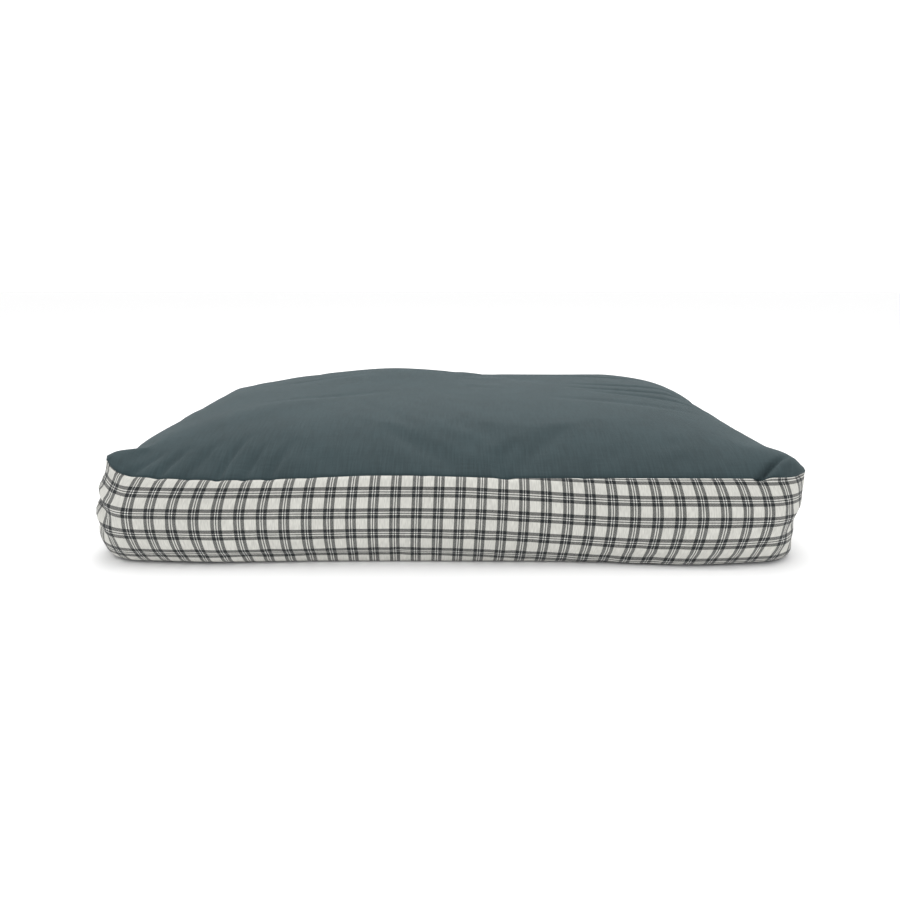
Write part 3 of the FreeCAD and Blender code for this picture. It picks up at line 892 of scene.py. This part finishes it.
check_cloth, tree, shader = new_material("yarn_dyed_check")
flat_place, along, up = cloth_axes(tree)
uneven = math_node(tree, "SUBTRACT", noise(tree, flat_place, 22), 0.5)
wander = math_node(tree, "MULTIPLY", uneven, 0.0006)
warp = yarn_colours(tree, math_node(tree, "ADD", along, wander), check_start_along)
weft = yarn_colours(tree, math_node(tree, "ADD", up, wander), check_start_up)
over, yarn_height = threads(tree, along, up, check_yarn)
woven = mix_colours(tree, "MIX", over, warp, weft)
darker = mix_colours(tree, "DARKEN", 1.0, warp, weft)
woven = mix_colours(tree, "MIX", 0.56, woven, darker)
slub = noise(tree, flat_place, 900, 1.0, (1, 0.12, 1))
soiling = noise(tree, flat_place, 9, 3.0)
woven = mix_colours(tree, "MULTIPLY", 1.0, woven, ramp(tree, slub, [(0.3, 0.78), (0.7, 1.0)]))
woven = mix_colours(tree, "MULTIPLY", 1.0, woven, ramp(tree, soiling, [(0.35, 0.93), (0.65, 1.0)]))
wire_up(tree, woven, shader.inputs["Base Color"])
shader.inputs["Roughness"].default_value = 0.92
shader.inputs["Specular IOR Level"].default_value = 0.2
shader.inputs["Sheen Weight"].default_value = 0.12
shader.inputs["Sheen Roughness"].default_value = 0.6
bump(tree, shader, yarn_height, 0.00025, 0.7)

# %% [markdown]
# ## The look of slate canvas
# The top is a plain dyed canvas. Its colour is even, but the yarns are not: faint streaks run along
# warp and weft, and a matt bloom of short fibres lightens it where it is seen at a low angle.

# %% Canvas, base cloth and bag cloth
def plain_cloth(name, colour, pitch, sheen, streak=0.10, relief=0.0003):
    """A dyed plain weave with uneven yarns."""
    material, tree, shader = new_material(name)
    flat_place, along, up = cloth_axes(tree)
    yarn_height = threads(tree, along, up, pitch)[1]
    lengthwise = noise(tree, flat_place, 480, 3.0, (1, 0.06, 1))
    crosswise = noise(tree, flat_place, 480, 3.0, (0.06, 1, 1))
    streaks = mix_colours(tree, "MIX", 0.35, lengthwise, crosswise)
    patches = noise(tree, flat_place, 14, 4.0)
    tone = mix_colours(tree, "MIX", 0.30, streaks, patches)
    low = tuple(channel * (1 - streak) for channel in colour) + (1,)
    high = tuple(channel * (1 + streak) for channel in colour) + (1,)
    wire_up(tree, ramp(tree, tone, [(0.40, low), (0.60, high)]), shader.inputs["Base Color"])
    shader.inputs["Roughness"].default_value = 0.9
    shader.inputs["Specular IOR Level"].default_value = 0.25
    shader.inputs["Sheen Weight"].default_value = sheen
    shader.inputs["Sheen Roughness"].default_value = 0.5
    shader.inputs["Sheen Tint"].default_value = (0.76, 0.9, 0.94, 1)
    bump(tree, shader, yarn_height, relief, 0.6)
    return material


slate_canvas = plain_cloth("slate_canvas", (0.0255, 0.042, 0.0465), 0.0011, 0.100, streak=0.17)
base_cloth = plain_cloth("dark_base_cloth", (0.020, 0.022, 0.025), 0.0009, 0.15)
bag_cloth = plain_cloth("white_bag_cloth", (0.78, 0.78, 0.76), 0.0006, 0.1, streak=0.03)
fibre_look = plain_cloth("white_fibre", (0.86, 0.86, 0.85), 0.004, 0.3, streak=0.04, relief=0.001)

# %% [markdown]
# ## The look of thread, tape, nylon and metal
# The zip is small, but it is what a hand meets. Thread is twisted, tape is woven in a herringbone,
# the coil is smooth nylon, and the slider is cast metal that has been tumbled, so its faces are
# softly mottled. All of these patterns sit in the object's own metres.

# %% Thread, tape, nylon and metal
def object_axes(tree):
    place = node(tree, "ShaderNodeTexCoord").outputs["Object"]
    parts = node(tree, "ShaderNodeSeparateXYZ")
    wire_up(tree, place, parts.inputs[0])
    return place, parts.outputs


def two_tone(tree, shader, pattern, colour, spread, low=0.35, high=0.65):
    darker = tuple(channel * (1 - spread) for channel in colour) + (1,)
    lighter = tuple(min(channel * (1 + spread), 1) for channel in colour) + (1,)
    wire_up(tree, ramp(tree, pattern, [(low, darker), (high, lighter)]), shader.inputs["Base Color"])


def stripes(tree, value, pitch):
    """A wave from 0 to 1 with the given pitch."""
    wave = math_node(tree, "SINE", math_node(tree, "MULTIPLY", value, 2 * math.pi / pitch))
    return math_node(tree, "ADD", math_node(tree, "MULTIPLY", wave, 0.5), 0.5)


def twisted_thread(name, colour):
    material, tree, shader = new_material(name)
    x, y, z = object_axes(tree)[1]
    leaning = math_node(tree, "ADD", math_node(tree, "ADD", x, y), math_node(tree, "MULTIPLY", z, 2.0))
    twist = stripes(tree, leaning, 0.0006)
    two_tone(tree, shader, twist, colour, 0.25, 0.1, 0.9)
    shader.inputs["Roughness"].default_value = 0.6
    shader.inputs["Sheen Weight"].default_value = 0.15
    bump(tree, shader, twist, 0.0001, 0.8)
    return material


def herringbone_tape(name, colour):
    material, tree, shader = new_material(name)
    place, (x, y, z) = object_axes(tree)
    zigzag = math_node(tree, "PINGPONG", z, 0.0024)
    twill = stripes(tree, math_node(tree, "ADD", x, zigzag), 0.0009)
    uneven = noise(tree, place, 700, 2.0)
    two_tone(tree, shader, mix_colours(tree, "MIX", 0.4, twill, uneven), colour, 0.28, 0.2, 0.8)
    shader.inputs["Roughness"].default_value = 0.85
    shader.inputs["Sheen Weight"].default_value = 0.1
    bump(tree, shader, twill, 0.00015, 0.8)
    return material


def drawn_nylon(name, colour):
    material, tree, shader = new_material(name)
    place = object_axes(tree)[0]
    two_tone(tree, shader, noise(tree, place, 90, 3.0), colour, 0.15)
    rough = ramp(tree, noise(tree, place, 400, 2.0), [(0.3, 0.28), (0.7, 0.42)])
    wire_up(tree, rough, shader.inputs["Roughness"])
    return material


def tumbled_metal(name, colour, roughness):
    material, tree, shader = new_material(name)
    place = object_axes(tree)[0]
    mottled = noise(tree, place, 650, 4.0)
    two_tone(tree, shader, mottled, colour, 0.14)
    scratches = noise(tree, place, 1500, 2.0, (0.15, 1, 1))
    rough = ramp(tree, scratches, [(0.3, roughness - 0.08), (0.7, roughness + 0.10)])
    wire_up(tree, rough, shader.inputs["Roughness"])
    shader.inputs["Metallic"].default_value = 1.0
    bump(tree, shader, mottled, 0.00003, 0.5)
    return material


grey_thread = twisted_thread("grey_thread", (0.16, 0.17, 0.17))
white_thread = twisted_thread("white_thread", (0.70, 0.70, 0.68))
zip_tape = herringbone_tape("zip_tape", (0.030, 0.034, 0.037))
zip_nylon = drawn_nylon("zip_nylon", (0.022, 0.024, 0.026))
zip_metal = tumbled_metal("zip_metal", (0.42, 0.42, 0.41), 0.34)
slider_metal = tumbled_metal("slider_metal", (0.30, 0.30, 0.30), 0.30)

# %% Dress the pieces
cad_looks = {
    "zip_tape_upper": zip_tape, "zip_tape_lower": zip_tape, "zip_top_stops": zip_metal,
    "zip_bottom_stop": zip_metal, "slider_body": slider_metal, "slider_bail": slider_metal,
    "pull_tab": slider_metal, "liner_closing_stitch": white_thread,
}
for name, material in cad_looks.items():
    for material_slot in bpy.data.objects[name].material_slots:
        material_slot.material = material
for piece in [*sewing.values(), *zip_stitches.values()]:
    piece.data.materials.append(grey_thread)
for piece in zip_coils.values():
    piece.data.materials.append(zip_nylon)
plain_looks = {"canvas_top": slate_canvas, "dark_base": base_cloth}
for name, piece in cut.items():
    piece.data.materials.append(plain_looks.get(name, check_cloth))
inner_bag.data.materials.append(bag_cloth)
fibre.data.materials.append(fibre_look)

# %% [markdown]
# ## Putting each piece on its body
# Every piece rides on a body and takes the place of the CAD nodes, which are hidden. The panels
# are sheets of cloth, and the table lists the size that each was cut to.

# %% Bodies, and the CAD nodes that the pieces replace
turnings = 0.04
wall_width, front_length, side_length = 0.122, 1.162, 0.577
zip_strip_width, zip_strip_length = 0.056, 0.780
sheets = {
    "canvas_top": ("top_panel", "slate_canvas", 2 * half_length + turnings, 2 * half_depth + turnings),
    "dark_base": ("bottom_panel", "base_cloth", 2 * half_length, 2 * half_depth),
    "check_wall_front": ("front_boxing", "checked_cloth", front_length, wall_width),
    "check_wall_right": ("right_boxing", "checked_cloth", side_length, wall_width),
    "check_wall_left": ("left_boxing", "checked_cloth", side_length, wall_width),
    "check_strip_upper": ("back_boxing_upper", "checked_cloth", zip_strip_length, zip_strip_width),
    "check_strip_lower": ("back_boxing_lower", "checked_cloth", zip_strip_length, zip_strip_width),
}
for name, (cad_node, slot, length, width) in sheets.items():
    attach(cut[name], "cushion")
    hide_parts(cad_node)
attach(inner_bag, "cushion")
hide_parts("liner_top", "liner_bottom", "liner_boxing")
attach(fibre, "cushion")
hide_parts("fibre_fill")
small_pieces = [
    (sewing["top_seam_sewing"], "top_seam_thread", "grey_thread"),
    (sewing["base_seam_sewing"], "bottom_seam_thread", "grey_thread"),
    (sewing["wall_join_sewing"], "boxing_join_threads", "grey_thread"),
    (zip_stitches["zip_stitches_upper"], "zip_stitch_upper", "grey_thread"),
    (zip_stitches["zip_stitches_lower"], "zip_stitch_lower", "grey_thread"),
    (zip_coils["zip_coil_wire_upper"], "zip_coil_upper", "nylon_coil"),
    (zip_coils["zip_coil_wire_lower"], "zip_coil_lower", "nylon_coil"),
]
for piece, cad_node, finish in small_pieces:
    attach(piece, "cushion")
    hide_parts(cad_node)

# %% [markdown]
# ## Camera, floor and light
# The camera stands a little above the bed, as a person would hold it, close enough that the back
# looks narrower than the front. The floor is pale and the light is broad and soft from above.

# %% Camera
stand_off, eye_height, pitch = 0.815, 0.366, math.radians(14.9)
bpy.ops.object.camera_add(location=(0, -half_depth - stand_off, eye_height),
                          rotation=(math.pi / 2 - pitch, 0, 0))
camera = bpy.context.active_object
camera.name = "camera"
camera.data.lens = 27.4
camera.data.sensor_width = 36
camera.data.clip_start = 0.01
bpy.context.scene.camera = camera

# %% Floor and lights
deselect_all()
bpy.ops.mesh.primitive_plane_add(size=14, location=(0, 3, 0))
floor = bpy.context.active_object
floor.name = "floor"
floor_paint, tree, shader = new_material("pale_floor")
shader.inputs["Base Color"].default_value = (0.90, 0.90, 0.90, 1)
shader.inputs["Roughness"].default_value = 0.9
shader.inputs["Specular IOR Level"].default_value = 0.1
floor.data.materials.append(floor_paint)

world = bpy.data.worlds.new("studio")
bpy.context.scene.world = world
world.use_nodes = True
world.node_tree.nodes["Background"].inputs[0].default_value = (1, 1, 1, 1)
world.node_tree.nodes["Background"].inputs[1].default_value = 1.1
bpy.context.scene.view_settings.view_transform = "Standard"


def soft_light(name, size, power, place, target):
    bpy.ops.object.light_add(type="AREA", location=place)
    lamp = bpy.context.active_object
    lamp.name = name
    lamp.data.size = size
    lamp.data.energy = power
    lamp.rotation_euler = (Vector(target) - Vector(place)).to_track_quat("-Z", "Y").to_euler()


soft_light("overhead", 2.4, 40, (0.0, 0.7, 2.3), (0, 0, 0))
soft_light("front_fill", 1.6, 5, (0.3, -2.6, 1.5), (0, 0, 0.05))
